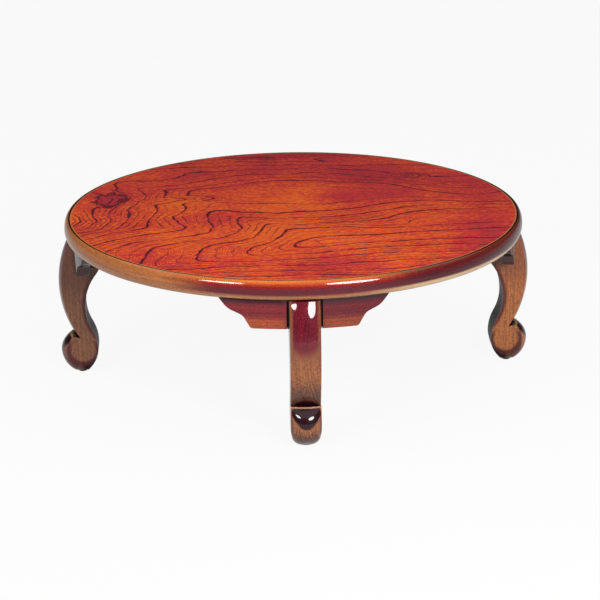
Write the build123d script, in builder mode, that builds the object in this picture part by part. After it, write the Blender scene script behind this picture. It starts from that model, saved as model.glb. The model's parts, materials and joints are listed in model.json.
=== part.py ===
"""Round folding low table on four curved legs.

Frame: +Z up, origin on the floor under the middle of the table.
A leg stands on each of the four directions -Y (front), +X (right), +Y (back)
and -X (left), and folds inwards about a pin in a steel bracket.
All sizes are in millimetres. A reach is a distance from a pin's axis,
outwards from the middle of the table unless its comment says otherwise.
"""
from build123d import *
from math import cos, radians, sin
import os

os.makedirs("parts", exist_ok=True)

# ---------------------------------------------------------------- table top
table_diameter = 900.0
table_height = 320.0
top_thickness = 38.0
rim_width = 26.0            # solid wood edge, from the core board to the nose
nose_depth = 13.0           # how far in the bullnose begins underneath
face_thickness = 3.0        # veneered panel on top
face_inset = 10.0           # from the table's edge to the face panel
groove_depth = 1.4          # V-groove between the face panel and the rim
back_thickness = 3.0
back_lap = 8.0              # how far the back panel runs onto the rim

# --------------------------------------------------------------------- legs
leg_thickness = 56.0
pivot_inset = 50.0          # from the table's edge to the pivot pin
pivot_drop = 26.0           # from the underside to the pin's axis
web_gap = 0.3               # between the leg's top and the bracket's web
leg_top_reach = 44.0
knee_reach = 66.5
slot_reach = 32.4           # to the inner end of the slot above the scroll
scroll_reach = 45.0
ball_reach = 66.8
foot_reach = 14.0           # to the inner edge of the foot's flat
foot_flat = 24.0            # width of the flat
ball_back_reach = 7.2       # measured inwards
waist_reach = 15.0
scroll_height = 76.0        # heights above the foot's flat
ball_height = 43.0
ball_back_height = 48.0
slot_fall = 7.0             # from the scroll's tip down to the slot's end
head_drop = 85.0            # from the underside to the head's lower corner
head_corner_radius = 10.0
leg_edge_radius = 7.0
pad_thickness = 2.0
pad_side_inset = 2.0        # from the foot's edges to the felt pad
pad_end_inset = 8.0
pad_corner_radius = 5.0

# -------------------------------------------------------- folding hardware
steel_thickness = 2.3
cheek_gap = 0.4             # between a leg's side and a cheek
cheek_back_reach = 28.0     # measured inwards
cheek_reach = 32.0
cheek_drop = 60.0
cheek_corner_radius = 10.0
flange_back_reach = 70.0    # measured inwards
flange_length = 40.0
flange_width = 104.0
pin_diameter = 10.0
pin_clearance = 0.05        # running fit, on the radius
pin_head_diameter = 16.0
pin_head_height = 3.0
pin_tail = 3.6
clip_diameter = 15.0
clip_thickness = 1.2
clip_groove_depth = 1.0
clip_play = 0.1
sleeve_diameter = 14.0
catch_back_reach = 16.0     # from the pin in to the catch button
button_diameter = 7.0
button_travel = 1.3         # how far the button stands into the leg
catch_clearance = 0.4
spring_thickness = 0.8
spring_width = 12.0
spring_length = 34.0
spring_overhang = 8.0       # above the button
rivet_diameter = 4.0
rivet_head_diameter = 6.5
rivet_head_height = 1.2
rivet_margin = 6.5          # from the spring's lower end
screw_diameter = 3.6
screw_length = 14.0
screw_head_height = 1.8
screw_inset = 9.0           # from the flange's edges
web_screw_reach = 18.0
web_screw_offset = 15.0     # to each side of the middle

# ------------------------------------------------------------------- aprons
apron_thickness = 25.0
apron_inset = 13.0          # from the table's edge to the apron's face
apron_drop = 56.0
apron_gap = 1.0             # between a cheek and the apron's end
apron_flat = 66.0           # straight lower edge, from the leg outwards
ogee_rise = 24.0
ogee_run = 14.0
shoulder_rise = 12.0
shoulder_run = 28.0
tail_run = 16.0
ogee_radii = (9.0, 14.0, 18.0)
block_depth = 16.0
block_height = 30.0
block_margin = 14.0         # from the apron's inner end
block_length = 66.0
glue_gap = 0.1

# ------------------------------------------------------- worked-out values
table_radius = table_diameter / 2
underside = table_height - top_thickness
core_radius = table_radius - rim_width
face_radius = table_radius - face_inset
back_radius = core_radius + back_lap

pivot_radius = table_radius - pivot_inset
pivot_height = underside - pivot_drop
web_bottom = underside - steel_thickness
leg_top = web_bottom - web_gap
boss_radius = leg_top - pivot_height
leg_side = leg_thickness / 2

cheek_inner_face = leg_side + cheek_gap
cheek_outer_face = cheek_inner_face + steel_thickness
pin_radius = pin_diameter / 2
pin_hole_radius = pin_radius + pin_clearance
catch_hole_radius = button_diameter / 2 + catch_clearance
catch_radius = pivot_radius - catch_back_reach
spring_top = pivot_height + spring_overhang
rivet_height = spring_top - spring_length + rivet_margin

web_inner_radius = pivot_radius - flange_back_reach
web_outer_radius = pivot_radius + cheek_reach
flange_screw_side = flange_width / 2 - screw_inset
flange_screws = [
    (web_inner_radius + along, side)
    for along in (screw_inset, flange_length - screw_inset)
    for side in (-flange_screw_side, flange_screw_side)
]
web_screws = [
    (pivot_radius + web_screw_reach, side) for side in (-web_screw_offset, web_screw_offset)
]
screw_tip = web_bottom + screw_length

apron_outer_radius = table_radius - apron_inset
apron_inner_radius = apron_outer_radius - apron_thickness
apron_bottom = underside - apron_drop
apron_start = cheek_outer_face + apron_gap

# Directions of the legs from the middle of the table, in degrees.
leg_angles = {"front": -90, "right": 0, "back": 90, "left": 180}
# What lies on each leg's clockwise and anticlockwise side, seen from above.
leg_sides = {
    "front": ("left", "right"),
    "right": ("front", "back"),
    "back": ("right", "left"),
    "left": ("back", "front"),
}
# Each quarter of the rim runs anticlockwise from the leg named here.
rim_starts = {
    "rim_front_right": "front",
    "rim_back_right": "right",
    "rim_back_left": "back",
    "rim_front_left": "left",
}


def side_plane(angle, offset=0.0):
    """Upright plane along a leg: x runs outwards and y up, from an origin
    offset to the leg's anticlockwise side. Its normal points clockwise."""
    a = radians(angle)
    origin = (-offset * sin(a), offset * cos(a), 0)
    return Plane(origin=origin, x_dir=(cos(a), sin(a), 0), z_dir=(sin(a), -cos(a), 0))


def plan_plane(angle, height):
    """Level plane: x runs outwards and y to the leg's anticlockwise side."""
    a = radians(angle)
    return Plane(origin=(0, 0, height), x_dir=(cos(a), sin(a), 0), z_dir=(0, 0, 1))


def front_plane(angle):
    """Upright plane across a leg: x runs to its anticlockwise side and y up.
    Its normal points outwards."""
    a = radians(angle)
    return Plane(origin=(0, 0, 0), x_dir=(-sin(a), cos(a), 0), z_dir=(cos(a), sin(a), 0))


def write(part, name):
    """Label a finished piece and write its file."""
    part.label = name
    export_step(part, f"parts/{name}.step")


# ---------------------------------------------------------------- table top
def screw_holes(bottom, top):
    """The pilot holes of all the brackets' screws, as a solid to cut with."""
    with BuildPart() as holes:
        for angle in leg_angles.values():
            with BuildSketch(plan_plane(angle, bottom)):
                with Locations(*flange_screws, *web_screws):
                    Circle(screw_diameter / 2)
            extrude(amount=top - bottom)
    return holes.part


def make_face_panel():
    with BuildPart() as panel:
        with BuildSketch(Plane.XY.offset(table_height - face_thickness)):
            Circle(face_radius)
        extrude(amount=face_thickness)
        chamfer(panel.faces().sort_by(Axis.Z)[-1].edges(), length=groove_depth)
    write(panel.part, "face_panel")


def make_core_board():
    core_bottom = underside + back_thickness
    pilot_holes = screw_holes(core_bottom, screw_tip)
    with BuildPart() as board:
        with BuildSketch(Plane.XY.offset(core_bottom)):
            Circle(core_radius)
        extrude(amount=top_thickness - back_thickness - face_thickness)
        add(pilot_holes, mode=Mode.SUBTRACT)
    write(board.part, "core_board")


def make_back_panel():
    through_holes = screw_holes(underside, underside + back_thickness)
    with BuildPart() as panel:
        with BuildSketch(Plane.XY.offset(underside)):
            Circle(back_radius)
        extrude(amount=back_thickness)
        add(through_holes, mode=Mode.SUBTRACT)
    write(panel.part, "back_panel")


def make_rim_quarter(name, start_angle):
    """A quarter of the solid edge: rebated for both panels, with a bullnose
    outside and its half of the V-groove on the inner lip."""
    lip_radius = face_radius + groove_depth
    lip_depth = table_radius - lip_radius
    half_thickness = top_thickness / 2
    middle = underside + half_thickness
    with BuildPart() as rim:
        with BuildSketch(side_plane(start_angle)):
            with BuildLine():
                EllipticalCenterArc(
                    (table_radius - nose_depth, middle),
                    nose_depth,
                    half_thickness,
                    start_angle=-90,
                )
                EllipticalCenterArc((lip_radius, middle), lip_depth, half_thickness)
                Polyline(
                    (lip_radius, table_height),
                    (face_radius, table_height - groove_depth),
                    (face_radius, table_height - face_thickness),
                    (core_radius, table_height - face_thickness),
                    (core_radius, underside + back_thickness),
                    (back_radius, underside + back_thickness),
                    (back_radius, underside),
                    (table_radius - nose_depth, underside),
                )
            make_face()
        revolve(axis=Axis.Z, revolution_arc=90)
    write(rim.part, name)


# --------------------------------------------------------------------- legs
def make_leg(name, angle):
    """The leg is sawn from a thick board, so one profile gives its shape: a
    head rounded about the pin, a full knee, a waist, and a scroll foot."""
    floor = pad_thickness
    scroll_top = floor + scroll_height
    head_bottom = underside - head_drop

    def at(reach, height):
        return (pivot_radius + reach, height)

    top_front = at(leg_top_reach, leg_top)
    knee = at(knee_reach, (leg_top + scroll_top) / 2)
    slot_end = at(slot_reach, scroll_top - slot_fall)
    scroll_tip = at(scroll_reach, scroll_top)
    ball_front = at(ball_reach, floor + ball_height)
    foot_front = at(foot_reach + foot_flat, floor)
    foot_back = at(foot_reach, floor)
    ball_back = at(-ball_back_reach, floor + ball_back_height)
    waist = at(waist_reach, (head_bottom + scroll_top) / 2)
    ankle = ((ball_back[0] + waist[0]) / 2, (ball_back[1] + waist[1]) / 2)
    head_corner = at(-boss_radius, head_bottom)
    boss_back = at(-boss_radius, pivot_height)
    boss_top = at(0, leg_top)

    with BuildPart() as leg:
        with BuildSketch(side_plane(angle)) as profile:
            with BuildLine():
                ThreePointArc(top_front, knee, slot_end)
                Line(slot_end, scroll_tip)
                TangentArc(ball_front, scroll_tip, tangent=(0, 1))
                TangentArc(ball_front, foot_front, tangent=(0, -1))
                Line(foot_front, foot_back)
                TangentArc(ball_back, foot_back, tangent=(0, -1))
                TangentArc(ball_back, ankle, tangent=(0, 1))
                TangentArc(waist, ankle, tangent=(0, -1))
                TangentArc(waist, head_corner, tangent=(0, 1))
                Line(head_corner, boss_back)
                TangentArc(boss_back, boss_top, tangent=(0, 1))
                Line(boss_top, top_front)
            make_face()
            corner = profile.vertices().sort_by_distance(Vector(*head_corner))[0]
            fillet(corner, radius=head_corner_radius)
        extrude(amount=leg_side, both=True)

        # The long edges of the knee and of the ball are rounded over.
        middle = side_plane(angle)
        front_edges = leg.edges().filter_by(GeomType.CIRCLE).filter_by(
            lambda edge: middle.to_local_coords(edge @ 0.5).X > scroll_tip[0]
            and abs(middle.to_local_coords(edge @ 0.5).Z) > leg_side / 2
        )
        fillet(front_edges, radius=leg_edge_radius)

        with BuildSketch(side_plane(angle, leg_side)):
            with Locations((pivot_radius, pivot_height)):
                Circle(sleeve_diameter / 2)
        extrude(amount=leg_thickness, mode=Mode.SUBTRACT)

        # The catch drops into one hole when the leg stands and into the
        # other when it is folded.
        with BuildSketch(side_plane(angle, leg_side)):
            with Locations(
                (catch_radius, pivot_height),
                (pivot_radius, pivot_height - catch_back_reach),
            ):
                Circle(catch_hole_radius)
        extrude(amount=button_travel + catch_clearance, mode=Mode.SUBTRACT)
    write(leg.part, name)


def make_foot_pad(name, angle):
    with BuildPart() as pad:
        with BuildSketch(plan_plane(angle, 0)):
            with Locations((pivot_radius + foot_reach + foot_flat / 2, 0)):
                RectangleRounded(
                    foot_flat - 2 * pad_side_inset,
                    leg_thickness - 2 * pad_end_inset,
                    pad_corner_radius,
                )
        extrude(amount=pad_thickness)
    write(pad.part, name)


# -------------------------------------------------------- folding hardware
def make_bracket(name, angle):
    """Folded sheet steel: a web under the table top with a wide flange for
    the screws, and a cheek on each side of the leg."""
    with BuildPart() as bracket:
        with BuildSketch(plan_plane(angle, web_bottom)):
            with Locations(((web_inner_radius + web_outer_radius) / 2, 0)):
                Rectangle(web_outer_radius - web_inner_radius, 2 * cheek_outer_face)
            with Locations((web_inner_radius + flange_length / 2, 0)):
                Rectangle(flange_length, flange_width)
        extrude(amount=steel_thickness)

        cheek_middle = pivot_radius + (cheek_reach - cheek_back_reach) / 2
        for anticlockwise_face in (cheek_outer_face, -cheek_inner_face):
            with BuildSketch(side_plane(angle, anticlockwise_face)) as cheek:
                with Locations((cheek_middle, underside - cheek_drop / 2)):
                    Rectangle(cheek_back_reach + cheek_reach, cheek_drop)
                lower = cheek.vertices().group_by(Axis.Y)[0]
                fillet(lower, radius=cheek_corner_radius)
            extrude(amount=steel_thickness)

        with BuildSketch(side_plane(angle, cheek_outer_face)):
            with Locations((pivot_radius, pivot_height)):
                Circle(pin_hole_radius)
        extrude(amount=2 * cheek_outer_face, mode=Mode.SUBTRACT)

        # The anticlockwise cheek lets the catch button through.
        with BuildSketch(side_plane(angle, cheek_outer_face)):
            with Locations((catch_radius, pivot_height)):
                Circle(catch_hole_radius)
            with Locations((catch_radius, rivet_height)):
                Circle(rivet_diameter / 2)
        extrude(amount=steel_thickness, mode=Mode.SUBTRACT)

        with BuildSketch(plan_plane(angle, web_bottom)):
            with Locations(*flange_screws, *web_screws):
                Circle(screw_diameter / 2)
        extrude(amount=steel_thickness, mode=Mode.SUBTRACT)
        with BuildSketch(plan_plane(angle, web_bottom)):
            with Locations(*web_screws):
                Circle(screw_diameter / 2 + screw_head_height)
        extrude(amount=screw_head_height, taper=45, mode=Mode.SUBTRACT)
    write(bracket.part, name)


def make_pin(name, angle):
    """Steel pin: head on the clockwise cheek, and a grooved tail for the
    clip past the other one."""
    with BuildPart() as pin:
        with BuildSketch(side_plane(angle, cheek_outer_face + pin_tail)):
            with Locations((pivot_radius, pivot_height)):
                Circle(pin_radius)
        extrude(amount=pin_tail + 2 * cheek_outer_face)
        with BuildSketch(side_plane(angle, -cheek_outer_face)):
            with Locations((pivot_radius, pivot_height)):
                Circle(pin_head_diameter / 2)
        extrude(amount=pin_head_height)
        with BuildSketch(side_plane(angle, cheek_outer_face + clip_thickness + 2 * clip_play)):
            with Locations((pivot_radius, pivot_height)):
                Circle(pin_radius)
                Circle(pin_radius - clip_groove_depth, mode=Mode.SUBTRACT)
        extrude(amount=clip_thickness + clip_play, mode=Mode.SUBTRACT)
    write(pin.part, name)


def make_sleeve(name, angle):
    with BuildPart() as sleeve:
        with BuildSketch(side_plane(angle, leg_side)):
            with Locations((pivot_radius, pivot_height)):
                Circle(sleeve_diameter / 2)
                Circle(pin_hole_radius, mode=Mode.SUBTRACT)
        extrude(amount=leg_thickness)
    write(sleeve.part, name)


def make_lock_spring(name, angle):
    """Leaf spring on the anticlockwise cheek, with the button that drops
    into the leg."""
    button_length = steel_thickness + cheek_gap + button_travel
    with BuildPart() as spring:
        with BuildSketch(side_plane(angle, cheek_outer_face + spring_thickness)):
            with Locations((catch_radius, spring_top - spring_length / 2)):
                RectangleRounded(spring_width, spring_length, spring_width / 3)
            with Locations((catch_radius, rivet_height)):
                Circle(rivet_diameter / 2, mode=Mode.SUBTRACT)
        extrude(amount=spring_thickness)
        with BuildSketch(side_plane(angle, cheek_outer_face)):
            with Locations((catch_radius, pivot_height)):
                Circle(button_diameter / 2)
        extrude(amount=button_length)
        tip = side_plane(angle).z_dir
        rim = spring.faces().sort_by(Axis((0, 0, 0), tip))[-1].edges()
        fillet(rim, radius=button_travel / 2)
    write(spring.part, name)


def make_spring_rivets():
    with BuildPart() as rivets:
        for angle in leg_angles.values():
            head_face = cheek_outer_face + spring_thickness
            with BuildSketch(side_plane(angle, head_face)):
                with Locations((catch_radius, rivet_height)):
                    Circle(rivet_diameter / 2)
            extrude(amount=head_face - cheek_inner_face)
            with BuildSketch(side_plane(angle, head_face + rivet_head_height)):
                with Locations((catch_radius, rivet_height)):
                    Circle(rivet_head_diameter / 2)
            extrude(amount=rivet_head_height)
    write(rivets.part, "spring_rivets")


def make_pin_clips():
    """Open rings that snap into the pins' grooves."""
    with BuildPart() as clips:
        for angle in leg_angles.values():
            outer_face = cheek_outer_face + clip_play + clip_thickness
            with BuildSketch(side_plane(angle, outer_face)):
                with Locations((pivot_radius, pivot_height)):
                    Circle(clip_diameter / 2)
                    Circle(pin_radius - clip_groove_depth, mode=Mode.SUBTRACT)
                with Locations((pivot_radius, pivot_height - clip_diameter / 2)):
                    Rectangle(pin_radius, clip_diameter, mode=Mode.SUBTRACT)
            extrude(amount=clip_thickness)
    write(clips.part, "pin_clips")


def make_bracket_screws():
    """Pan-head screws in the flange, and flush ones above the leg."""
    head_radius = screw_diameter / 2 + screw_head_height
    with BuildPart() as screws:
        for angle in leg_angles.values():
            with BuildSketch(plan_plane(angle, web_bottom)):
                with Locations(*flange_screws, *web_screws):
                    Circle(screw_diameter / 2)
            extrude(amount=screw_length)
            with BuildSketch(plan_plane(angle, web_bottom)):
                with Locations(*flange_screws):
                    Circle(head_radius)
            extrude(amount=-screw_head_height)
            with BuildSketch(plan_plane(angle, web_bottom)):
                with Locations(*web_screws):
                    Circle(head_radius)
            extrude(amount=screw_head_height, taper=45)
    write(screws.part, "bracket_screws")


# ------------------------------------------------------------------- aprons
def make_apron(name, angle, side):
    """A bent board under the rim, beside a leg, with an ogee at its end.
    side is 1 for the leg's anticlockwise side and -1 for the other."""
    flat_end = apron_start + apron_flat
    ogee_end = flat_end + ogee_run
    shoulder_end = ogee_end + shoulder_run
    apron_end = shoulder_end + tail_run
    shoulder_height = apron_bottom + ogee_rise + shoulder_rise
    with BuildPart() as apron:
        with BuildSketch(plan_plane(angle, apron_bottom)):
            Circle(apron_outer_radius)
            Circle(apron_inner_radius, mode=Mode.SUBTRACT)
            with Locations((table_radius / 2, side * (apron_start + apron_end) / 2)):
                Rectangle(table_radius, apron_end - apron_start, mode=Mode.INTERSECT)
        extrude(amount=apron_drop)
        with BuildSketch(front_plane(angle)):
            with BuildLine():
                FilletPolyline(
                    (side * apron_start, apron_bottom),
                    (side * flat_end, apron_bottom),
                    (side * ogee_end, apron_bottom + ogee_rise),
                    (side * shoulder_end, shoulder_height),
                    (side * apron_end, underside),
                    radius=ogee_radii,
                )
                Polyline(
                    (side * apron_end, underside),
                    (side * apron_start, underside),
                    (side * apron_start, apron_bottom),
                )
            make_face()
        extrude(amount=table_radius, mode=Mode.INTERSECT)
    write(apron.part, name)


def make_glue_blocks():
    """A block in the corner behind each apron board."""
    outer = apron_inner_radius - glue_gap
    middle = apron_start + block_margin + block_length / 2
    with BuildPart() as blocks:
        for angle in leg_angles.values():
            for side in (-1, 1):
                with BuildSketch(plan_plane(angle, underside - block_height)):
                    Circle(outer)
                    Circle(outer - block_depth, mode=Mode.SUBTRACT)
                    with Locations((table_radius / 2, side * middle)):
                        Rectangle(table_radius, block_length, mode=Mode.INTERSECT)
                extrude(amount=block_height)
    write(blocks.part, "apron_glue_blocks")


# -------------------------------------------------------------- all pieces
make_face_panel()
make_core_board()
make_back_panel()
for quarter, start in rim_starts.items():
    make_rim_quarter(quarter, leg_angles[start])

for station, angle in leg_angles.items():
    clockwise, anticlockwise = leg_sides[station]
    make_leg(f"leg_{station}", angle)
    make_foot_pad(f"foot_pad_{station}", angle)
    make_bracket(f"hinge_bracket_{station}", angle)
    make_pin(f"pivot_pin_{station}", angle)
    make_sleeve(f"pivot_sleeve_{station}", angle)
    make_lock_spring(f"lock_spring_{station}", angle)
    make_apron(f"apron_{station}_{clockwise}", angle, -1)
    make_apron(f"apron_{station}_{anticlockwise}", angle, 1)

make_glue_blocks()
make_spring_rivets()
make_pin_clips()
make_bracket_screws()
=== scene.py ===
# %% [markdown]
# # A round folding low table
#
# A low table for sitting on the floor: a round top of glossy lacquered wood,
# four curved legs with scroll feet, and a shaped apron board on each side of
# every leg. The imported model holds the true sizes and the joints, so this
# lesson takes its places from there and only makes the looks.

# %% Load the frame
import json
from functools import partial
from math import asin, atan2, cos, hypot, pi, radians, sin, sqrt, tau

import bmesh
import bpy
from mathutils import Matrix, Vector


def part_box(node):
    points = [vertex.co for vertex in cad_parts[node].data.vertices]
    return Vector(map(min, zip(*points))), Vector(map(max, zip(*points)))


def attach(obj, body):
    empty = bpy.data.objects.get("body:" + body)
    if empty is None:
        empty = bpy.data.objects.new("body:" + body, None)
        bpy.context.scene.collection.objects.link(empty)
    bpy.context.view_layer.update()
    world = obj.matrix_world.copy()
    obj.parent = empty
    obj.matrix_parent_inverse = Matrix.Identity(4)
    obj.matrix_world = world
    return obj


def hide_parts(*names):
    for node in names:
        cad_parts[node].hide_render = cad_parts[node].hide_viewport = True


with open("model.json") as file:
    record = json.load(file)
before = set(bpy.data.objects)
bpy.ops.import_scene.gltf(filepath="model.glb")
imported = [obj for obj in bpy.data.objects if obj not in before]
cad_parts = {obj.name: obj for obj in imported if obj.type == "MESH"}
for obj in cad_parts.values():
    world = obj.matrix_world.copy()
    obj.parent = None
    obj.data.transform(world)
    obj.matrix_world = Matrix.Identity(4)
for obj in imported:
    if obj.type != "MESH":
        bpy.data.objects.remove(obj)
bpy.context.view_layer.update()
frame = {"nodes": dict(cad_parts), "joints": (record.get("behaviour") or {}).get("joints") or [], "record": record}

# %% [markdown]
# ## Sizes
#
# Blender works in metres. The rim's box gives the table top, the leg's box
# gives the leg, and a joint's place gives the pin that the leg turns about.
# Legs are modelled once, standing towards +X, and turned to their stations.

# %% Sizes from the frame
mm = 0.001
leg_angles = {"front": -90, "right": 0, "back": 90, "left": 180}
rim_quarters = {
    "rim_front_right": -90,
    "rim_back_right": 0,
    "rim_back_left": 90,
    "rim_front_left": -180,
}

rim_low, rim_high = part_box("rim_back_right")
table_radius = rim_high.x
table_height = rim_high.z
underside = rim_low.z
panel_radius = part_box("face_panel")[1].x
core_low, core_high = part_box("core_board")
back_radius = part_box("back_panel")[1].x

leg_low, leg_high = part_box("leg_right")
leg_side = leg_high.y
leg_top = leg_high.z
leg_floor = leg_low.z
pivot = Vector(
    next(joint["pos_m"] for joint in frame["joints"] if joint["name"] == "right_leg_fold")
)
print("table radius", table_radius, "height", table_height, "pin at", pivot[:])

# %% [markdown]
# ## The camera
#
# The table is seen from a little above and from far away, with a long lens,
# which keeps its near side and its far side almost equally large. The camera
# could be flown there by hand. Numbers are used, so that the view can be set
# again. A camera looks along its own -Z axis. It is first turned to its
# heading, then tipped down, and last rolled by less than a degree.

# %% Camera
frame_pixels = 600
focal_pixels = 2263.5
sensor_mm = 36
camera_distance = 4.464
camera_elevation = radians(16.47)
camera_tilt = radians(2.27)
camera_pan = radians(0.152)
camera_roll = radians(-0.71)
table_turn = radians(2.44)

camera_data = bpy.data.cameras.new("camera")
camera_data.sensor_width = sensor_mm
camera_data.lens = focal_pixels * sensor_mm / frame_pixels
camera = bpy.data.objects.new("camera", camera_data)
bpy.context.scene.collection.objects.link(camera)
level_distance = camera_distance * cos(camera_elevation)
camera_place = Vector(
    (
        -level_distance * sin(table_turn),
        -level_distance * cos(table_turn),
        table_height + camera_distance * sin(camera_elevation),
    )
)
camera.matrix_world = (
    Matrix.Translation(camera_place)
    @ Matrix.Rotation(-(camera_pan + table_turn), 4, "Z")
    @ Matrix.Rotation(radians(90) - camera_elevation - camera_tilt, 4, "X")
    @ Matrix.Rotation(camera_roll, 4, "Z")
)
bpy.context.scene.camera = camera
bpy.context.scene.view_settings.view_transform = "Standard"
print("camera at", camera_place[:])

# %% [markdown]
# ## Small helpers
#
# An operator works on everything that is selected, so each step first selects
# exactly one piece, and in edit mode exactly the points, edges or faces that
# it is meant for. A hand would click them. Here they are found by their place,
# which still holds when a size changes.


# %% Helpers for selecting
same_place = 0.01 * mm
merge_distance = 0.005 * mm


def select_nothing():
    """Goes to object mode and deselects every piece."""
    if bpy.context.object and bpy.context.object.mode != "OBJECT":
        bpy.ops.object.mode_set(mode="OBJECT")
    bpy.ops.object.select_all(action="DESELECT")


def only(piece):
    """Selects one piece and nothing else, in object mode."""
    select_nothing()
    piece.select_set(True)
    bpy.context.view_layer.objects.active = piece


def edit(piece):
    """Selects one piece and opens it in edit mode, all of it selected."""
    only(piece)
    bpy.ops.object.mode_set(mode="EDIT")
    bpy.ops.mesh.select_all(action="SELECT")


def pick(kind, test):
    """In edit mode, selects only the points, edges or faces that pass a test
    of their middle and of the thing itself. Returns how many there are."""
    bpy.ops.mesh.select_mode(type=kind)
    bpy.ops.mesh.select_all(action="DESELECT")
    mesh = bpy.context.object.data
    shape = bmesh.from_edit_mesh(mesh)
    if kind == "VERT":
        chosen = [point for point in shape.verts if test(point.co, point)]
    elif kind == "EDGE":
        ends = [(edge, edge.verts[0].co, edge.verts[1].co) for edge in shape.edges]
        chosen = [edge for edge, start, end in ends if test((start + end) / 2, edge)]
    else:
        chosen = [face for face in shape.faces if test(face.calc_center_median(), face)]
    for item in chosen:
        item.select_set(True)
    bmesh.update_edit_mesh(mesh)
    return len(chosen)


def near(a, b, slack=same_place):
    return abs(a - b) < slack


def merge_all():
    """In edit mode, selects everything and merges points at one place."""
    bpy.ops.mesh.select_all(action="SELECT")
    bpy.ops.mesh.remove_doubles(threshold=merge_distance)


# %% Helpers for whole pieces
def settle(piece):
    """Puts the object at the origin, unturned, with its place in its mesh."""
    only(piece)
    bpy.ops.object.transform_apply(location=True, rotation=True, scale=True)
    return piece


def finish_with(piece, kind, **settings):
    """Adds a modifier, sets it and applies it."""
    only(piece)
    modifier = piece.modifiers.new(kind.title(), kind)
    for name, value in settings.items():
        setattr(modifier, name, value)
    bpy.ops.object.modifier_apply(modifier=modifier.name)


def turn_outwards(piece):
    """Merges doubled points and turns every face outwards."""
    edit(piece)
    merge_all()
    bpy.ops.mesh.normals_make_consistent(inside=False)
    bpy.ops.object.mode_set(mode="OBJECT")


def copy_turned(piece, name, angle, flip=False):
    """A copy with its own mesh, turned about the table's axis. A flipped one
    is mirrored first, which turns it inside out, so that is put right."""
    twin = piece.copy()
    twin.data = piece.data.copy()
    twin.name = name
    bpy.context.scene.collection.objects.link(twin)
    if flip:
        twin.scale.x = -1
        settle(twin)
        turn_outwards(twin)
    twin.rotation_euler.z = radians(angle)
    return settle(twin)


def remove(piece):
    bpy.data.objects.remove(piece)


piece_slots = {}


def stands_for(piece, body, slot, *nodes):
    """The piece moves with a body and takes the place of CAD nodes. Its slot
    names its finish, which is put on at the end."""
    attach(piece, body)
    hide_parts(*nodes)
    piece_slots[piece.name] = slot


# %% [markdown]
# ## Drawing an outline
#
# Sawn and turned pieces start from an outline, drawn the way a pencil would:
# one point, then straight runs by extruding the last point, and round runs by
# spinning it about a centre. A list of points could be typed in instead, but
# this way the round runs stay true arcs, and each starts where the last ended.
# Outlines are drawn upright, in the XZ plane.


# %% Helpers for outlines
def start_outline(name, x, z):
    """A new piece of one point, left in edit mode."""
    select_nothing()
    bpy.ops.mesh.primitive_plane_add(size=mm, location=(x, 0, z))
    piece = settle(bpy.context.object)
    piece.name = name
    edit(piece)
    bpy.ops.mesh.select_mode(type="VERT")
    bpy.ops.mesh.merge(type="CENTER")
    return piece


def last_point():
    shape = bmesh.from_edit_mesh(bpy.context.object.data)
    return next(point.co.copy() for point in shape.verts if point.select)


def line_to(x, z):
    here = last_point()
    step = (x - here.x, 0, z - here.z)
    bpy.ops.mesh.extrude_vertices_move(TRANSFORM_OT_translate={"value": step})


def arc_to(x, z, centre, run=2 * mm):
    """A round run about a centre, in steps of about the given length."""
    here = last_point()
    first = atan2(here.z - centre[1], here.x - centre[0])
    last = atan2(z - centre[1], x - centre[0])
    turn = (last - first + pi) % tau - pi
    radius = hypot(here.x - centre[0], here.z - centre[1])
    bpy.ops.mesh.spin(
        steps=max(3, round(abs(turn) * radius / run)),
        angle=turn,
        center=(centre[0], 0, centre[1]),
        axis=(0, 1, 0),
    )


oval_steps = 14


def oval_quarter(depth, height, centre):
    """A quarter turn of an oval: a round run of its height about a centre,
    then narrowed to its depth from where it began."""
    here = last_point()
    shape = bmesh.from_edit_mesh(bpy.context.object.data)
    drawn = len(shape.verts)
    hub = (centre[0], 0, centre[1])
    bpy.ops.mesh.spin(steps=oval_steps, angle=radians(90), center=hub, axis=(0, 1, 0))
    end = last_point()
    pick("VERT", lambda co, point: point.index >= drawn)
    bpy.ops.transform.resize(value=(depth / height, 1, 1), center_override=here)
    pick("VERT", lambda co, point: near(co.z, end.z) and point.index >= drawn)


def level_centre(upright, other):
    """Centre of the arc that runs upright at one point and meets another."""
    across = other[0] - upright[0]
    rise = other[1] - upright[1]
    return (upright[0] + (across**2 + rise**2) / (2 * across), upright[1])


def centre_of_three(a, b, c):
    """Centre of the circle through three points, as complex numbers."""
    a, b, c = complex(*a), complex(*b), complex(*c)
    share = (c - a) / (b - a)
    centre = a + (b - a) * (share - abs(share) ** 2) / (2j * share.imag)
    return (centre.real, centre.imag)


# %% [markdown]
# ## Grain
#
# Wood is not a skin: its lines run through the board that a piece was cut
# from. A picture wrapped round a piece could show grain too, but its lines
# would break at every edge. So each wooden piece carries, at every point, its
# place in that board: along the grain, across it, and through the thickness.
# The materials read this, and the grain bends with the rim and stands upright
# in the legs.


# %% Helper for grain
def lay_grain(piece, place_in_board, shift=0.0, tone=0.5):
    """Stores each point's place in its board, in metres, and how the board is toned, from 0, grey brown, to 1,
    orange brown; on the aprons a low value is painted shade instead. The shift picks another stretch of timber, so
    that no two pieces are alike."""
    layers = piece.data.attributes
    layers.new("board", "FLOAT_VECTOR", "POINT")
    layers.new("stretch", "FLOAT", "POINT")
    layers.new("tone", "FLOAT", "POINT")
    for number, point in enumerate(piece.data.vertices):
        layers["board"].data[number].vector = place_in_board(point.co)
        layers["stretch"].data[number].value = shift
        layers["tone"].data[number].value = tone


def shade(piece, degrees):
    """Smooth shading, with creases where faces meet at more than the angle."""
    only(piece)
    bpy.ops.object.shade_smooth_by_angle(angle=radians(degrees))


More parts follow.
